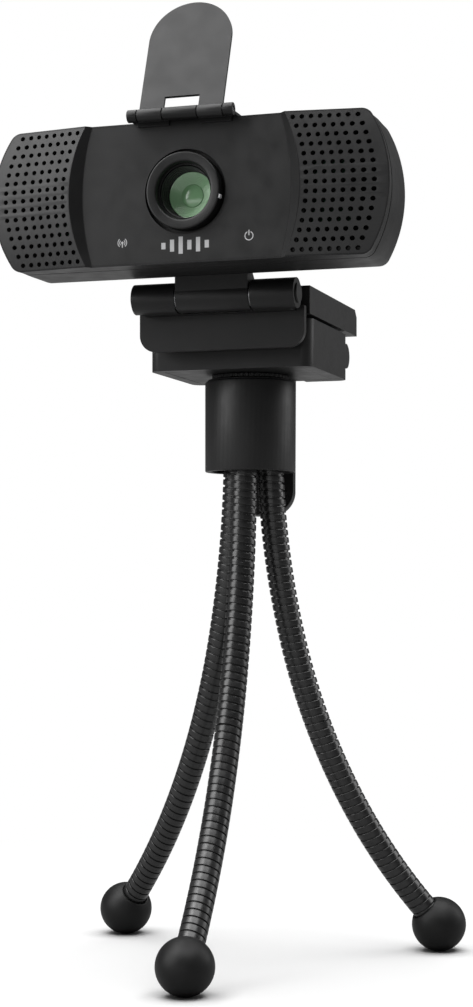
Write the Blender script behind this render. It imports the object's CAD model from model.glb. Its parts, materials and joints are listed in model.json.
"""Looks of the webcam on its gooseneck tripod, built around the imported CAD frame.

Lengths are in millimetres, measured from the tripod's axis as in the CAD source. New pieces
are turned into metres in the row frame when their mesh is made.
"""

import json
import math

import bmesh
import bpy
from mathutils import Matrix, Vector


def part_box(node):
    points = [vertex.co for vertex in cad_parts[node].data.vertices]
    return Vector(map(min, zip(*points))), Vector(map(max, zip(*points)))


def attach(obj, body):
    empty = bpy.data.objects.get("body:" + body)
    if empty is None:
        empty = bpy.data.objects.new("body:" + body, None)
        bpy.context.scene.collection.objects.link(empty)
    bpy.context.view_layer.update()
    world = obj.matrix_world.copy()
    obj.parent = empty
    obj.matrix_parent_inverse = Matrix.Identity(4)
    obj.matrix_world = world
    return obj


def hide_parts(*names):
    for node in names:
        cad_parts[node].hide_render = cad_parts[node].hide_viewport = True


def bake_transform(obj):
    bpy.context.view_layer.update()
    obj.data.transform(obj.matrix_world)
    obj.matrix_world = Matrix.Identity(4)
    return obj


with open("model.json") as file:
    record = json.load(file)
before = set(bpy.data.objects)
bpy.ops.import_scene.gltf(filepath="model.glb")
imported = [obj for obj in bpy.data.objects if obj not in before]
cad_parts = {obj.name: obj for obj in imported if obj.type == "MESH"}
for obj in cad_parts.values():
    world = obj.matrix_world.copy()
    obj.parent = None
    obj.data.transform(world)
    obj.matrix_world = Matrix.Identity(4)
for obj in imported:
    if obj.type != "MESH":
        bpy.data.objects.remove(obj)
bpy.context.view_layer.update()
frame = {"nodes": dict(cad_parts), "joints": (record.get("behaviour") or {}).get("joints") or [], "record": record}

MM = 0.001
JOINTS = {j["name"]: j for j in frame["joints"]}
HEAD_LOW, HEAD_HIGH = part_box("tripod_head")
AXIS = Vector((0, (HEAD_LOW.y + HEAD_HIGH.y) / 2, 0))


def span(node):
    """Lowest and highest corner of a CAD node, in millimetres from the tripod's axis."""
    low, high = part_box(node)
    return (low - AXIS) / MM, (high - AXIS) / MM


def joint_at(name):
    """Place of a joint, in millimetres from the tripod's axis."""
    return (Vector(JOINTS[name]["pos_m"]) - AXIS) / MM


# ---------------------------------------------------------------- camera, floor and light

SENSOR_WIDTH = 36.0


def make_camera():
    data = bpy.data.cameras.new("camera")
    data.sensor_width = SENSOR_WIDTH
    data.lens = 70.54
    data.shift_x = -0.00782
    data.shift_y = 0.08742
    data.clip_start = 0.01
    data.clip_end = 20
    camera = bpy.data.objects.new("camera", data)
    camera.location = (0.163815, -0.507466, 0.101475)
    camera.rotation_euler = (math.radians(90), 0, math.radians(17.624))
    bpy.context.scene.collection.objects.link(camera)
    bpy.context.scene.camera = camera


def area_light(name, azimuth, elevation, distance, size, power, target=(0, 0, 0.16)):
    """Soft box at an azimuth round the object, 0 in front and 90 to its right."""
    a, e = math.radians(azimuth), math.radians(elevation)
    back = Vector((math.sin(a) * math.cos(e), -math.cos(a) * math.cos(e), math.sin(e)))
    data = bpy.data.lights.new(name, "AREA")
    data.shape = "RECTANGLE"
    data.size, data.size_y = size
    data.energy = power
    lamp = bpy.data.objects.new(name, data)
    lamp.location = Vector(target) + back * distance
    lamp.rotation_mode = "QUATERNION"
    lamp.rotation_quaternion = (-back).to_track_quat("-Z", "Y")
    bpy.context.scene.collection.objects.link(lamp)
    return lamp


def make_world():
    """White to the camera, and a dim grey light for everything else."""
    world = bpy.data.worlds.new("studio")
    bpy.context.scene.world = world
    world.use_nodes = True
    nodes, links = world.node_tree.nodes, world.node_tree.links
    background = nodes["Background"]
    seen = nodes.new("ShaderNodeLightPath")
    mix = nodes.new("ShaderNodeMix")
    mix.data_type = "RGBA"
    mix.inputs["A"].default_value = (0.13, 0.13, 0.131, 1)
    mix.inputs["B"].default_value = (1, 1, 1, 1)
    links.new(seen.outputs["Is Camera Ray"], mix.inputs["Factor"])
    links.new(mix.outputs["Result"], background.inputs["Color"])
    bpy.context.scene.view_settings.view_transform = "Standard"


def make_floor():
    """White paper: it takes soft shadows near the object and is plain white farther out."""
    mesh = bpy.data.meshes.new("floor")
    bm = bmesh.new()
    bmesh.ops.create_circle(bm, cap_ends=True, segments=96, radius=6)
    bm.to_mesh(mesh)
    bm.free()
    floor = bpy.data.objects.new("floor", mesh)
    bpy.context.scene.collection.objects.link(floor)
    material, tree, shader = shader_of("floor_paper")
    shader.inputs["Roughness"].default_value = 0.9
    # The paper shows white, and throws little light back on the object
    seen = tree.nodes.new("ShaderNodeLightPath")
    tint = tree.nodes.new("ShaderNodeMix")
    tint.data_type = "RGBA"
    tint.inputs["A"].default_value = (0.4, 0.4, 0.4, 1)
    tint.inputs["B"].default_value = (0.7, 0.7, 0.7, 1)
    tree.links.new(seen.outputs["Is Camera Ray"], tint.inputs["Factor"])
    tree.links.new(tint.outputs["Result"], shader.inputs["Base Color"])
    shader.inputs["Specular IOR Level"].default_value = 0.1
    coordinates = tree.nodes.new("ShaderNodeTexCoord")
    length = tree.nodes.new("ShaderNodeVectorMath")
    length.operation = "LENGTH"
    fade = tree.nodes.new("ShaderNodeMapRange")
    fade.interpolation_type = "SMOOTHSTEP"
    fade.inputs["From Min"].default_value = 0.09
    fade.inputs["From Max"].default_value = 0.28
    glow = tree.nodes.new("ShaderNodeEmission")
    tree.links.new(tint.outputs["Result"], glow.inputs["Color"])
    glow.inputs["Strength"].default_value = 1.43
    mix = tree.nodes.new("ShaderNodeMixShader")
    tree.links.new(coordinates.outputs["Object"], length.inputs[0])
    tree.links.new(length.outputs["Value"], fade.inputs["Value"])
    tree.links.new(fade.outputs["Result"], mix.inputs["Fac"])
    tree.links.new(shader.outputs["BSDF"], mix.inputs[1])
    tree.links.new(glow.outputs["Emission"], mix.inputs[2])
    tree.links.new(mix.outputs["Shader"], tree.nodes["Material Output"].inputs["Surface"])
    mesh.materials.append(material)
    return floor


def keep_off(lamp, obj):
    """Stops a lamp from lighting an object."""
    group = bpy.data.collections.new(f"{lamp.name}_receivers")
    group.objects.link(obj)
    group.collection_objects[0].light_linking.link_state = "EXCLUDE"
    lamp.light_linking.receiver_collection = group


# ---------------------------------------------------------------- materials


def shader_of(name):
    material = bpy.data.materials.new(name)
    material.use_nodes = True
    return material, material.node_tree, material.node_tree.nodes["Principled BSDF"]


def noise(tree, scale, detail=3.0, stretch=(1, 1, 1)):
    """Noise on the object's own coordinates, so that it stays put when the piece moves."""
    coordinates = tree.nodes.new("ShaderNodeTexCoord")
    mapping = tree.nodes.new("ShaderNodeMapping")
    mapping.inputs["Scale"].default_value = stretch
    texture = tree.nodes.new("ShaderNodeTexNoise")
    texture.inputs["Scale"].default_value = scale
    texture.inputs["Detail"].default_value = detail
    tree.links.new(coordinates.outputs["Object"], mapping.inputs["Vector"])
    tree.links.new(mapping.outputs["Vector"], texture.inputs["Vector"])
    return texture.outputs["Fac"]


def ramp(tree, source, low, high):
    """Maps a noise, which stays near 0.5, to the range low to high."""
    node = tree.nodes.new("ShaderNodeMapRange")
    node.inputs["From Min"].default_value = 0.3
    node.inputs["From Max"].default_value = 0.7
    node.inputs["To Min"].default_value = low
    node.inputs["To Max"].default_value = high
    tree.links.new(source, node.inputs["Value"])
    return node.outputs["Result"]


def moulded(name, dark, light, rough, grain=4500, depth=0.012, spread=0.05, metal=0.0,
            gloss=0.3):
    """Moulded plastic, rubber or metal: slow colour change, fine grain and uneven gloss."""
    material, tree, shader = shader_of(name)
    shader.inputs["Metallic"].default_value = metal
    shader.inputs["Specular IOR Level"].default_value = gloss
    patches = noise(tree, 60)
    colour = tree.nodes.new("ShaderNodeMix")
    colour.data_type = "RGBA"
    colour.inputs["A"].default_value = (*dark, 1)
    colour.inputs["B"].default_value = (*light, 1)
    tree.links.new(ramp(tree, patches, 0.0, 1.0), colour.inputs["Factor"])
    tree.links.new(colour.outputs["Result"], shader.inputs["Base Color"])
    fine = noise(tree, grain, detail=2)
    tree.links.new(ramp(tree, noise(tree, 220), rough - spread, rough + spread),
                   shader.inputs["Roughness"])
    bump = tree.nodes.new("ShaderNodeBump")
    bump.inputs["Strength"].default_value = 0.35
    bump.inputs["Distance"].default_value = depth * MM
    tree.links.new(fine, bump.inputs["Height"])
    tree.links.new(bump.outputs["Normal"], shader.inputs["Normal"])
    return material


def glass(name, tint):
    material, tree, shader = shader_of(name)
    shader.inputs["Base Color"].default_value = (*tint, 1)
    shader.inputs["Transmission Weight"].default_value = 1.0
    shader.inputs["IOR"].default_value = 1.5
    shader.inputs["Coat Weight"].default_value = 0.6
    tree.links.new(ramp(tree, noise(tree, 900), 0.01, 0.05), shader.inputs["Roughness"])
    return material


def grey(value):
    return (value, value, value * 1.02)


MATERIALS = {
    "shell_plastic": moulded("shell_plastic", grey(0.0055), grey(0.008), 0.42, gloss=0.22),
    "face_plastic": moulded("face_plastic", grey(0.0055), grey(0.0075), 0.4, depth=0.006),
    "grille_plastic": moulded("grille_plastic", grey(0.010), grey(0.016), 0.42, depth=0.03),
    "clip_plastic": moulded("clip_plastic", grey(0.0055), grey(0.008), 0.46),
    "flap_plastic": moulded("flap_plastic", grey(0.012), grey(0.015), 0.42, depth=0.004,
                            gloss=0.22),
    "sign_print": moulded("sign_print", grey(0.3), grey(0.34), 0.5, depth=0.004),
    "lens_plastic": moulded("lens_plastic", grey(0.004), grey(0.006), 0.38, depth=0.006),
    "lens_glass": glass("lens_glass", (0.45, 0.85, 0.5)),
    "light_guide": moulded("light_guide", grey(0.55), grey(0.6), 0.2, depth=0.002),
    "circuit_board": moulded("circuit_board", (0.01, 0.09, 0.03), (0.015, 0.12, 0.05), 0.4),
    "silicon": moulded("silicon", (0.02, 0.025, 0.05), (0.03, 0.035, 0.06), 0.15),
    "mic_metal": moulded("mic_metal", grey(0.5), grey(0.58), 0.3, metal=1.0),
    "rubber_black": moulded("rubber_black", grey(0.006), grey(0.009), 0.7, depth=0.03),
    "pin_steel": moulded("pin_steel", grey(0.45), grey(0.55), 0.28, metal=1.0),
    "screw_steel": moulded("screw_steel", grey(0.2), grey(0.26), 0.32, metal=1.0),
    "washer_steel": moulded("washer_steel", grey(0.5), grey(0.6), 0.3, metal=1.0),
    "thread_brass": moulded("thread_brass", (0.5, 0.33, 0.09), (0.58, 0.4, 0.13), 0.3,
                            metal=1.0),
    "head_coat": moulded("head_coat", grey(0.007), grey(0.009), 0.46, depth=0.008),
    "hose_coat": moulded("hose_coat", grey(0.007), grey(0.011), 0.3, depth=0.01, gloss=0.5),
    "foot_rubber": moulded("foot_rubber", grey(0.004), grey(0.006), 0.5, depth=0.03,
                           gloss=0.2),
}
COATED_GLASS = moulded("coated_glass", (0.17, 0.35, 0.17), (0.22, 0.42, 0.22), 0.14, depth=0.001,
                       gloss=0.8)
SLOT_OF = {s["node"]: s["material_slot"] for s in frame["record"]["subparts"]}


def dress(node):
    """Gives a CAD node its procedural material."""
    mesh = frame["nodes"][node].data
    mesh.materials.clear()
    mesh.materials.append(MATERIALS[SLOT_OF[node]])


def soften(node, width, angle=30):
    """Rounds the sharp edges of a CAD node that is shown."""
    obj = frame["nodes"][node]
    weld = obj.modifiers.new("weld", "WELD")
    weld.merge_threshold = 1e-6
    flat = obj.modifiers.new("flat", "DECIMATE")
    flat.decimate_type = "DISSOLVE"
    flat.angle_limit = math.radians(0.3)
    bevel = obj.modifiers.new("bevel", "BEVEL")
    bevel.width = width * MM
    bevel.segments = 3
    bevel.limit_method = "ANGLE"
    bevel.angle_limit = math.radians(angle)
    bevel.harden_normals = True


# ---------------------------------------------------------------- mesh helpers


def new_piece(name, bm, slot, body=None, replaces=(), smooth_angle=32):
    """Turns a mesh drawn in millimetres into a piece that rides on a body."""
    bmesh.ops.recalc_face_normals(bm, faces=bm.faces)
    mesh = bpy.data.meshes.new(name)
    bm.to_mesh(mesh)
    bm.free()
    mesh.transform(Matrix.Translation(AXIS) @ Matrix.Scale(MM, 4))
    mesh.shade_smooth()
    mesh.set_sharp_from_angle(angle=math.radians(smooth_angle))
    mesh.materials.append(MATERIALS[slot])
    obj = bpy.data.objects.new(name, mesh)
    bpy.context.scene.collection.objects.link(obj)
    if replaces:
        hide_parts(*replaces)
    if body:
        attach(obj, body)
    return obj


def loft(bm, loops, closed_ring=False):
    """Skins a list of closed loops of points, and caps both ends unless they join up."""
    rings = [[bm.verts.new(p) for p in loop] for loop in loops]
    pairs = list(zip(rings, rings[1:]))
    if closed_ring:
        pairs.append((rings[-1], rings[0]))
    for a, b in pairs:
        for i in range(len(a)):
            j = (i + 1) % len(a)
            bm.faces.new((a[i], a[j], b[j], b[i]))
    if not closed_ring:
        bm.faces.new(rings[0])
        bm.faces.new(rings[-1])


def fillet(points, r, steps=5):
    """A closed outline with its corners rounded."""
    out = []
    count = len(points)
    for i, p in enumerate(points):
        p = Vector(p)
        to_last = (Vector(points[i - 1]) - p).normalized()
        to_next = (Vector(points[(i + 1) % count]) - p).normalized()
        half = to_last.angle(to_next) / 2
        centre = p + (to_last + to_next).normalized() * (r / math.sin(half))
        start = p + to_last * (r / math.tan(half)) - centre
        end = p + to_next * (r / math.tan(half)) - centre
        sweep = start.angle_signed(end)
        for k in range(steps + 1):
            turn = -sweep * k / steps
            c, s = math.cos(turn), math.sin(turn)
            out.append(centre + Vector((start.x * c - start.y * s, start.x * s + start.y * c)))
    return out


def offset_outline(points, distance):
    """Moves a closed, rounded outline inwards by distance along its own normals."""
    area = sum(a[0] * b[1] - b[0] * a[1] for a, b in zip(points, points[1:] + points[:1]))
    side = 1 if area > 0 else -1
    out = []
    count = len(points)
    for i, p in enumerate(points):
        along = (Vector(points[(i + 1) % count]) - Vector(points[i - 1])).normalized()
        out.append(Vector(p) + side * distance * Vector((-along.y, along.x)))
    return out


def edge_steps(radius, steps=4):
    """(inset, depth) pairs of a quarter round, from the face to the side."""
    angles = [math.pi / 2 * k / steps for k in range(steps + 1)]
    return [(radius * (1 - math.sin(a)), radius * (1 - math.cos(a))) for a in angles]


def along_x(u, v, d):
    return (d, u, v)


def soft_prism(bm, outline, low, high, rim, place):
    """An extruded outline with rounded rims. place(u, v, depth) gives each point."""
    rows = [(inset, low + depth) for inset, depth in edge_steps(rim)]
    rows += [(inset, high - depth) for inset, depth in reversed(edge_steps(rim))]
    loft(bm, [[place(p[0], p[1], d) for p in offset_outline(outline, inset)]
              for inset, d in rows])


def lathe(bm, profile, place, segments=96):
    """Turns a closed profile of (radius, height) round an axis; place(u, v, h) gives points."""
    loops = []
    for i in range(segments):
        a = 2 * math.pi * i / segments
        loops.append([place(r * math.cos(a), r * math.sin(a), h) for r, h in profile])
    loft(bm, loops, closed_ring=True)
    bmesh.ops.remove_doubles(bm, verts=bm.verts, dist=1e-4)


def cut(obj, *tools):
    """Takes the tool meshes away from obj for good."""
    for tool in tools:
        modifier = obj.modifiers.new("cut", "BOOLEAN")
        modifier.operation = "DIFFERENCE"
        modifier.solver = "EXACT"
        modifier.object = tool
        depsgraph = bpy.context.evaluated_depsgraph_get()
        mesh = bpy.data.meshes.new_from_object(obj.evaluated_get(depsgraph))
        obj.modifiers.clear()
        old = obj.data
        obj.data = mesh
        bpy.data.meshes.remove(old)
    for tool in tools:
        bpy.data.objects.remove(tool)


def tool(bm):
    """A mesh in millimetres that only cuts."""
    bmesh.ops.recalc_face_normals(bm, faces=bm.faces)
    mesh = bpy.data.meshes.new("tool")
    bm.to_mesh(mesh)
    bm.free()
    mesh.transform(Matrix.Translation(AXIS) @ Matrix.Scale(MM, 4))
    obj = bpy.data.objects.new("tool", mesh)
    bpy.context.scene.collection.objects.link(obj)
    return obj


def circle(r, segments):
    turns = [2 * math.pi * i / segments for i in range(segments)]
    return [Vector((r * math.cos(a), r * math.sin(a))) for a in turns]


# ---------------------------------------------------------------- gooseneck legs

LEGS = ("front", "left", "right")
HOSE_R = 3.65
COIL_PITCH = 2.12
RING_VERTS = 28
HIP_LEAN = math.radians(2.8)  # of the hose from the vertical where it leaves the head
HOSE_INSIDE = 6.0  # how far the hose runs on above its first bend, into the head
WIDE_GROOVE = (0.60, 0.52)  # width and depth near the head
FINE_GROOVE = (0.30, 0.38)  # and near the ball
FINE_FROM, FINE_TO = 50, 80  # where along the leg the one turns into the other
FOOT_LOW, FOOT_HIGH = span("front_foot")
BALL_R = (FOOT_HIGH.x - FOOT_LOW.x) / 2


class Leg:
    """Centre line of a leg: arcs through its joints, each starting where the last one points."""

    def __init__(self, name):
        self.name = name
        self.joints = [joint_at(f"{name}_leg_bend_{n}") for n in (1, 2, 3)]
        low, high = span(f"{name}_foot")
        self.ball = Vector(((low.x + high.x) / 2, (low.y + high.y) / 2, high.z - BALL_R))
        flat = Vector((self.ball.x, self.ball.y, 0))
        self.out = flat.normalized()
        stops = self.joints + [self.ball]
        self.leans = [HIP_LEAN]
        self.lengths = []
        for a, b in zip(stops, stops[1:]):
            step = b - a
            chord = math.atan2(step.dot(self.out), -step.z)
            bend = 2 * (chord - self.leans[-1])
            self.leans.append(self.leans[-1] + bend)
            self.lengths.append(step.length * (bend / 2) / math.sin(bend / 2))
        self.total = sum(self.lengths)

    def at(self, s):
        """Point and lean of the centre line, s along it from the first joint."""
        start = 0.0
        for n, length in enumerate(self.lengths):
            if s <= start + length or n == 2:
                break
            start += length
        bend = (self.leans[n + 1] - self.leans[n]) if s > 0 else 0.0
        local = s - start
        lean = self.leans[n] + bend * local / self.lengths[n]
        middle = (self.leans[n] + lean) / 2
        turn = lean - self.leans[n]
        reach = local if abs(turn) < 1e-9 else local * math.sin(turn / 2) / (turn / 2)
        step = self.out * math.sin(middle) - Vector((0, 0, math.cos(middle)))
        return self.joints[n] + step * reach, lean


def groove(s):
    """Half width, as a share of the pitch, and depth of a hose's groove at s along the leg."""
    fine = min(1.0, max(0.0, (s - FINE_FROM) / (FINE_TO - FINE_FROM)))
    width, depth = (a + (b - a) * fine for a, b in zip(WIDE_GROOVE, FINE_GROOVE))
    return width / 2 / COIL_PITCH, depth


def hose_mesh(leg, start, end):
    """Hose of wound strip: a groove runs round it as a helix, wide above and fine below."""
    bm = bmesh.new()
    first = math.floor((start + HOSE_INSIDE) / COIL_PITCH) - 2
    last = math.ceil((end + HOSE_INSIDE) / COIL_PITCH) + 2
    side = Vector((-leg.out.y, leg.out.x, 0))
    rows = []
    for turn in range(first, last):
        for k in range(8):
            row = []
            for i in range(RING_VERTS):
                along = (turn + i / RING_VERTS) * COIL_PITCH - HOSE_INSIDE
                half, depth = groove(along)
                share, drop = (
                    (0.0, depth), (half, depth), (half + 0.02, 0.06), (half + 0.06, 0.0),
                    (0.5, -0.02), (1 - half - 0.06, 0.0), (1 - half - 0.02, 0.06),
                    (1 - half, depth))[k]
                s = min(max(along + share * COIL_PITCH, start), end)
                a = 2 * math.pi * i / RING_VERTS
                centre, lean = leg.at(s)
                normal = leg.out * math.cos(lean) + Vector((0, 0, math.sin(lean)))
                r = HOSE_R - drop
                row.append(bm.verts.new(centre + normal * (r * math.cos(a))
                                        + side * (r * math.sin(a))))
            rows.append(row)
    for m in range(len(rows) - 1):
        for i in range(RING_VERTS):
            j = i + 1
            if j < RING_VERTS:
                bm.faces.new((rows[m][i], rows[m][j], rows[m + 1][j], rows[m + 1][i]))
            elif m + 9 < len(rows):
                bm.faces.new((rows[m][i], rows[m + 8][0], rows[m + 9][0], rows[m + 1][i]))
    bmesh.ops.remove_doubles(bm, verts=bm.verts, dist=1e-4)
    bmesh.ops.dissolve_degenerate(bm, dist=1e-4, edges=bm.edges)
    loose = [v for v in bm.verts if not v.link_faces]
    bmesh.ops.delete(bm, geom=loose, context="VERTS")
    bmesh.ops.holes_fill(bm, edges=[e for e in bm.edges if e.is_boundary], sides=0)
    return bm


def make_hoses(leg):
    """Three lengths of hose, each bending with one joint. They meet halfway between joints."""
    middles = [sum(leg.lengths[:n]) + leg.lengths[n] / 2 for n in (0, 1)]
    bounds = [-HOSE_INSIDE, *middles, leg.total - 2.0]
    parts = ["tripod"] + [f"{leg.name}_leg_{part}" for part in ("upper", "middle", "lower")]
    bends = [(-4.0, 18.0), (middles[0], middles[1]), (middles[1], leg.total - 8.0)]
    for n in range(3):
        bm = hose_mesh(leg, bounds[n], bounds[n + 1])
        hose = new_piece(f"{leg.name}_hose_{n + 1}", bm, "hose_coat", replaces=[parts[n + 1]],
                         smooth_angle=15)
        start, end = ((leg.at(s)[0]) * MM + AXIS for s in bends[n])
        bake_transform(hose)
        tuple(start)
        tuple(end)


def make_foot(leg):
    """Rubber ball, flat where it stands, with a soft collar round the hose."""
    lean = leg.leans[3]
    up = -(leg.out * math.sin(lean) - Vector((0, 0, math.cos(lean))))
    side = Vector((-leg.out.y, leg.out.x, 0))
    across = up.cross(side)
    mouth = HOSE_R + 0.12
    collar = 0.45
    socket_depth = 4.0
    lip = 0.25
    rim_angle = math.asin((mouth + collar) / BALL_R)
    rim_height = BALL_R * math.cos(rim_angle)
    profile = [(mouth, rim_height - socket_depth), (mouth, rim_height - lip)]
    for k in range(1, 7):
        a = math.pi / 2 * k / 6
        profile.append((mouth + collar * (1 - math.cos(a)),
                        rim_height - lip + lip * math.sin(a)))
    for k in range(1, 61):
        a = rim_angle + (math.pi - rim_angle) * k / 60
        profile.append((BALL_R * math.sin(a), BALL_R * math.cos(a)))
    profile.append((0.0, rim_height - socket_depth))

    def place(u, v, h):
        p = leg.ball + across * u + side * v + up * h
        return Vector((p.x, p.y, max(p.z, 0.0)))

    bm = bmesh.new()
    lathe(bm, profile, place, segments=72)
    new_piece(f"{leg.name}_ball_foot", bm, "foot_rubber", f"{leg.name}_leg_lower",
              [f"{leg.name}_foot"], smooth_angle=40)


# ---------------------------------------------------------------- webcam

CAM = joint_at("focus_turn")  # on the lens axis
REAR_LOW, REAR_HIGH = span("rear_shell")
PARTING_Y = REAR_LOW.y
BACK_Y = REAR_HIGH.y
BODY_HW = REAR_HIGH.x
BODY_HH = (REAR_HIGH.z - REAR_LOW.z) / 2
END_R = 34.2
CORNER_R = 3.0
BACK_ROUND = 8.0
SHELL_WALL = 1.8
SCREW_R = 2.1
SCREW_HOLE_R = 2.32
GLAND_HOLE_R = 3.64
NECK_HOLE_HW = 10.07
# How far the ends of the body stand out past the straight outline, along its depth
END_SWELL = ((-60, -2.1), (-56.5, -1.6), (-55.5, -1.3), (-54.5, -0.95), (-53, -0.5),
             (-51.5, -0.15), (-50, 0.05), (-49, 0.15), (-45, 0.4), (-36, 0.0), (-27, -0.2))
SWELL_FROM, SWELL_FULL = 40.0, 51.0  # distance from the middle where it sets in


def between(table, x):
    """Value at x of a table of (x, value) rows."""
    for (x0, v0), (x1, v1) in zip(table, table[1:]):
        if x <= x1:
            return v0 + (v1 - v0) * max(0.0, (x - x0) / (x1 - x0))
    return table[-1][1]


def smooth_step(x, low, high):
    t = min(1.0, max(0.0, (x - low) / (high - low)))
    return t * t * (3 - 2 * t)


def swell(p):
    """Moves a point of the body in or out near its two ends."""
    share = smooth_step(abs(p.x), SWELL_FROM, SWELL_FULL)
    return Vector((p.x + math.copysign(between(END_SWELL, p.y) * share, p.x), p.y, p.z))


def body_outline(inset=0.0):
    """The body seen from the front, as (x, z) points round the lens axis."""
    hw, hh = BODY_HW - inset, BODY_HH - inset
    big, small = END_R - inset, max(CORNER_R - inset, 0.6)
    centre_x = hw - big
    corner_z = hh - small
    corner_x = centre_x + math.sqrt((big - small) ** 2 - corner_z ** 2)
    touch = math.atan2(corner_z, corner_x - centre_x)
    quarter = [Vector((corner_x * k / 24, hh)) for k in range(24)]
    quarter += [Vector((corner_x + small * math.cos(a), corner_z + small * math.sin(a)))
                for a in (math.pi / 2 + (touch - math.pi / 2) * k / 8 for k in range(8))]
    quarter += [Vector((centre_x + big * math.cos(a), big * math.sin(a)))
                for a in (touch * (1 - k / 16) for k in range(16))]
    lower = [Vector((p.x, -p.y)) for p in reversed(quarter[1:])]
    right = quarter + [Vector((hw, 0.0))] + lower
    left = [Vector((-p.x, p.y)) for p in reversed(right[1:])]
    return right + [Vector((0.0, -hh))] + left


def at_face(u, v, y):
    return swell(Vector((u, y, CAM.z + v)))


def make_rear_shell():
    """Hollow shell that rounds in towards the back, with its openings cut through."""
    bm = bmesh.new()

    def chain(inset, y_front, y_end, round_r, rim):
        rows = [(inset + step, y_front + y) for step, y in rim]
        rows += [(inset, y_front + (y_end - round_r - y_front) * k / 6) for k in range(1, 6)]
        for k in range(13):
            a = math.pi / 2 * k / 12
            rows.append((inset + round_r * (1 - math.cos(a)),
                         y_end - round_r + round_r * math.sin(a)))
        return [[bm.verts.new(at_face(p.x, p.y, y)) for p in body_outline(d)] for d, y in rows]

    parting_groove = ((0.4, 0.0), (0.4, 0.42), (0.06, 0.48), (0.0, 0.54))
    outer = chain(0.0, PARTING_Y, BACK_Y, BACK_ROUND, parting_groove)
    inner = chain(SHELL_WALL, PARTING_Y, BACK_Y - SHELL_WALL, BACK_ROUND - SHELL_WALL,
                  ((0.0, 0.0),))
    for rings in (outer, inner):
        for a, b in zip(rings, rings[1:]):
            for i in range(len(a)):
                j = (i + 1) % len(a)
                bm.faces.new((a[i], a[j], b[j], b[i]))
        bm.faces.new(rings[-1])
    for i in range(len(outer[0])):
        j = (i + 1) % len(outer[0])
        bm.faces.new((outer[0][i], outer[0][j], inner[0][j], inner[0][i]))
    shell = new_piece("rear_body", bm, "shell_plastic", "webcam", ["rear_shell"], 35)

    tools = []
    neck_high = span("tilt_neck")[1]
    tilt = joint_at("head_tilt")
    bm = bmesh.new()
    block = fillet([(tilt.y - 3.87, tilt.z), (tilt.y + 0.37, tilt.z),
                    (tilt.y + 0.37, neck_high.z), (tilt.y - 3.87, neck_high.z)], 0.5)
    soft_prism(bm, block, -NECK_HOLE_HW, NECK_HOLE_HW, 0.0, along_x)
    tools.append(tool(bm))
    gland_low, gland_high = span("cable_gland")
    gland_z = (gland_low.z + gland_high.z) / 2
    holes = [(0.0, gland_z, GLAND_HOLE_R)]
    screw_low, screw_high = span("shell_screws")
    for x in (-1, 1):
        for z in (-1, 1):
            holes.append((x * (screw_high.x - SCREW_R),
                          CAM.z + z * ((screw_high.z - screw_low.z) / 2 - SCREW_R),
                          SCREW_HOLE_R))
    for x, z, r in holes:
        bm = bmesh.new()
        rim = [circle(r + grow, 40) for grow in (0.0, 0.0, 0.25)]
        depths = (BACK_Y - 4.0, BACK_Y - 0.2, BACK_Y + 0.05)
        loft(bm, [[Vector((x + p.x, y, z + p.y)) for p in ring]
                  for ring, y in zip(rim, depths)])
        tools.append(tool(bm))
    cut(shell, *tools)
    finish_shading(shell)


def finish_shading(obj, angle=35):
    """Smooth faces with sharp edges kept, and flat faces that stay flat beside a rounding."""
    obj.data.shade_smooth()
    obj.data.set_sharp_from_angle(angle=math.radians(angle))
    weigh = obj.modifiers.new("weigh", "WEIGHTED_NORMAL")
    weigh.keep_sharp = True
    weigh.weight = 80


def cad_copy(node, name, slot, width, slices=(), shape=None, angle=30):
    """A finer piece made from a CAD node: edges rounded, sliced across and reshaped."""
    source = frame["nodes"][node]
    copy = bpy.data.objects.new("rough", source.data.copy())
    bpy.context.scene.collection.objects.link(copy)
    copy.matrix_world = source.matrix_world
    weld = copy.modifiers.new("weld", "WELD")
    weld.merge_threshold = 1e-6
    flat = copy.modifiers.new("flat", "DECIMATE")
    flat.decimate_type = "DISSOLVE"
    flat.angle_limit = math.radians(0.3)
    bevel = copy.modifiers.new("bevel", "BEVEL")
    bevel.width = width * MM
    bevel.segments = 3
    bevel.limit_method = "ANGLE"
    bevel.angle_limit = math.radians(angle)
    depsgraph = bpy.context.evaluated_depsgraph_get()
    mesh = bpy.data.meshes.new_from_object(copy.evaluated_get(depsgraph))
    mesh.transform(copy.matrix_world)
    mesh.transform(Matrix.Scale(1 / MM, 4) @ Matrix.Translation(-AXIS))
    bpy.data.objects.remove(copy)
    bm = bmesh.new()
    bm.from_mesh(mesh)
    bpy.data.meshes.remove(mesh)
    for y in slices:
        bmesh.ops.bisect_plane(bm, geom=bm.verts[:] + bm.edges[:] + bm.faces[:], dist=1e-4,
                               plane_co=(0, y, 0), plane_no=(0, 1, 0))
    if shape:
        for v in bm.verts:
            v.co = shape(v.co)
    obj = new_piece(name, bm, slot, "webcam", [node], angle)
    finish_shading(obj, angle)
    return obj


def make_webcam_body():
    cad_copy("front_shell", "front_body", "shell_plastic", 0.25,
             (-54.5, -53.8, -53, -52.2, -51.5, -50.7, -50), swell)
    for side in ("left", "right"):
        grille = cad_copy(f"{side}_grille", f"{side}_sound_panel", "grille_plastic", 0.13, (),
                          swell)
        sign = -1 if side == "left" else 1
        shade_bulge(grille, sign)
    make_rear_shell()


BULGE_R = 88.0
BULGE_MID = (38.5, -56.15)
BULGE_SWEEP = math.radians(7.4)


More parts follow.
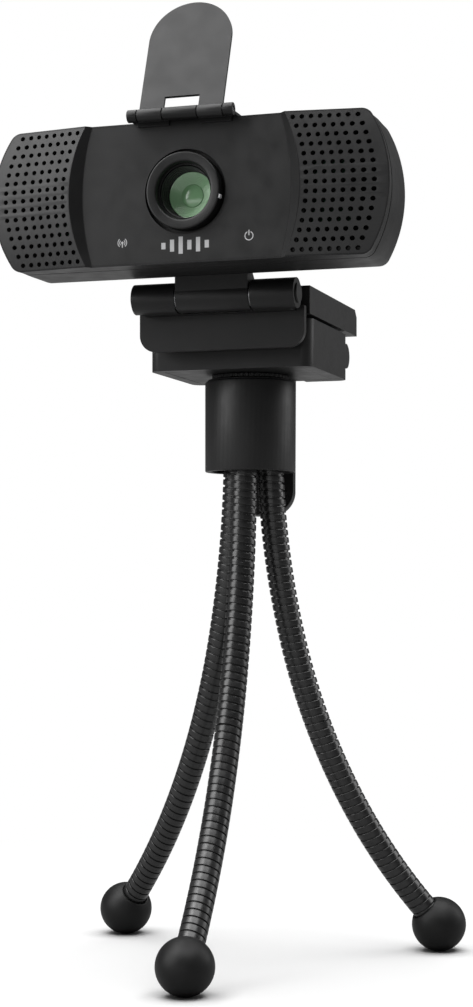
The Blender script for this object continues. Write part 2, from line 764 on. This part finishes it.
def shade_bulge(grille, sign):
    """Gives the panel's front face the normals of the smooth surface it is part of."""
    grille.modifiers.clear()
    mesh = grille.data
    crest = Vector((math.cos(BULGE_SWEEP) * sign, math.sin(BULGE_SWEEP), 0))
    out = Vector((math.sin(BULGE_SWEEP) * sign, -math.cos(BULGE_SWEEP), 0))
    middle = Vector((BULGE_MID[0] * sign, BULGE_MID[1], CAM.z)) - out * BULGE_R
    to_mm = Matrix.Scale(1 / MM, 4) @ Matrix.Translation(-AXIS)
    normals = [Vector(n.vector) for n in mesh.corner_normals]
    for poly in mesh.polygons:
        exact = []
        for i in poly.loop_indices:
            p = to_mm @ mesh.vertices[mesh.loops[i].vertex_index].co - middle
            spoke = p - crest * p.dot(crest)
            exact.append((i, spoke))
        if poly.normal.dot(out) > 0.9 and all(abs(s.length - BULGE_R) < 0.12 for _, s in exact):
            for i, spoke in exact:
                normals[i] = spoke.normalized()
    mesh.normals_split_custom_set(normals)


PLATE_Y = span("face_plate")[0].y
RING_LOW, RING_HIGH = span("focus_ring")
BARREL_LOW, BARREL_HIGH = span("lens_barrel")


TUBE_STEPS = (6.45, 6.33, 6.21, 6.09, 5.97)  # radii of the ridges down the lens tube
TUBE_PITCH = 0.95
GLASS_R = 5.86
DOME_R = 2.82  # of the small dome in the middle of the glass
MARK_TURN = math.radians(-12)  # of the ring's index mark


def on_lens(u, v, y):
    return (u, y, CAM.z + v)


def make_lens():
    """Focus ring, ridged lens tube and the coated glass deep inside it."""
    ring_r = RING_HIGH.x
    front, back = RING_LOW.y, RING_HIGH.y
    lip_r, bore_r = 7.2, 8.28
    profile = [(bore_r, back), (bore_r, PLATE_Y + 0.2), (lip_r, PLATE_Y + 0.1)]
    profile += [(lip_r, front + 1.0)] + [
        (lip_r + 0.55 * (1 - math.cos(a)), front + 0.12 + 0.6 * (1 - math.sin(a)))
        for a in (math.pi / 2 * k / 6 for k in range(7))]
    profile += [(lip_r + 1.0, front + 0.04), (ring_r - 0.5, front)]
    profile += [(ring_r - 0.4 * (1 - math.sin(a)), front + 0.4 * (1 - math.cos(a)))
                for a in (math.pi / 2 * k / 5 for k in range(6))]
    profile += [(ring_r, back)]
    bm = bmesh.new()
    lathe(bm, profile, on_lens, 128)
    new_piece("focus_bezel", bm, "lens_plastic", "focus_ring", ["focus_ring"], 35)

    # Index mark on the ring's side
    out = Vector((math.cos(MARK_TURN), 0, math.sin(MARK_TURN)))
    side = Vector((-math.sin(MARK_TURN), 0, math.cos(MARK_TURN)))

    def on_ring(u, v, d):
        p = out * (ring_r + d) + side * u
        return (p.x, front + v, CAM.z + p.z)

    bm = bmesh.new()
    mark = fillet([(-0.5, 0.2), (0.5, 0.2), (0.5, 1.5), (-0.5, 1.5)], 0.15)
    soft_prism(bm, mark, -0.2, 0.4, 0.08, on_ring)
    new_piece("focus_mark", bm, "sign_print", "focus_ring", smooth_angle=50)

    outer, y0, y1 = BARREL_HIGH.x, BARREL_LOW.y, BARREL_HIGH.y
    profile = [(outer, y1), (outer, y0 + 0.15), (outer - 0.15, y0)]
    for n, r in enumerate(TUBE_STEPS):
        y = y0 + TUBE_PITCH * n
        profile += [(r, y + 0.05), (r, y + 0.62), (r + 0.16, y + 0.68),
                    (r + 0.16, y + TUBE_PITCH)]
    profile += [(5.85, y0 + 4.8), (3.6, y0 + 6.3), (3.6, y1)]
    bm = bmesh.new()
    lathe(bm, profile, on_lens, 96)
    new_piece("lens_tube", bm, "lens_plastic", "lens", ["lens_barrel", "lens_retainer"], 28)

    rim, bowl = y0 + 4.3, 1.25
    profile = [(0.0, rim + bowl + 0.4), (5.7, rim + 0.55), (GLASS_R, rim + 0.3), (GLASS_R, rim)]
    for k in range(1, 25):
        r = GLASS_R - (GLASS_R - 2.9) * k / 24
        ridge = 0.035 * (k % 3 == 0)
        profile.append((r, rim + bowl * (1 - (r / GLASS_R) ** 2) - ridge))
    edge_y = profile[-1][1]
    profile += [(DOME_R, edge_y - 0.25)]
    for k in range(1, 9):
        r = DOME_R * (1 - k / 8)
        profile.append((r, edge_y - 0.25 - 0.45 * (1 - (r / DOME_R) ** 2)))
    bm = bmesh.new()
    lathe(bm, profile, on_lens, 96)
    glass_disc = new_piece("coated_lens", bm, "lens_glass", "lens", ["front_lens", "rear_lens"],
                           20)
    glass_disc.data.materials.clear()
    glass_disc.data.materials.append(COATED_GLASS)


def make_ferrules():
    """Cores of the hoses where they are crimped into the head."""
    low, high = span("leg_ferrules")
    bm = bmesh.new()
    for name in LEGS:
        hip = joint_at(f"{name}_leg_bend_1")
        core = bmesh.new()
        loft(core, [[Vector((hip.x + p.x, hip.y + p.y, z)) for p in circle(r, 32)]
                    for r, z in ((2.9, hip.z + 0.9), (3.1, hip.z + 1.1), (3.1, high.z - 0.2),
                                 (2.9, high.z))])
        mesh = bpy.data.meshes.new("core")
        core.to_mesh(mesh)
        core.free()
        bm.from_mesh(mesh)
        bpy.data.meshes.remove(mesh)
    new_piece("ferrule_cores", bm, "hose_coat", "tripod", ["leg_ferrules"], 40)

SOFT_EDGES = {
    "face_plate": 0.15, "tilt_neck": 0.3, "privacy_clip": 0.15, "privacy_flap": 0.12,
    "top_plate": 0.4,
    "lip_pad": 0.2, "plate_pad": 0.2, "pin_caps": 0.2, "clip_base": 0.4, "base_cover": 0.2,
    "rear_leg": 0.4, "rear_leg_pad": 0.15, "tripod_head": 0.3, "head_plug": 0.2,
    "lock_ring": 0.08, "cable_gland": 0.3, "shell_screws": 0.1,
}

make_camera()
make_world()
paper = make_floor()
for lamp in (area_light("key_left", -50, 30, 0.9, (0.6, 0.9), 9.5),
             area_light("side_right", 122, 20, 0.9, (0.5, 0.65), 3.1),
             area_light("front_low", -8, -9, 0.9, (1.0, 0.14), 0.7, (0, 0, 0.24))):
    keep_off(lamp, paper)
area_light("top", 0, 86, 0.9, (1.3, 1.3), 27)
for node in frame["nodes"]:
    dress(node)
for node, width in SOFT_EDGES.items():
    soften(node, width)
make_webcam_body()
make_lens()
make_ferrules()
for name in LEGS:
    leg = Leg(name)
    make_hoses(leg)
    make_foot(leg)

bpy.context.view_layer.update()
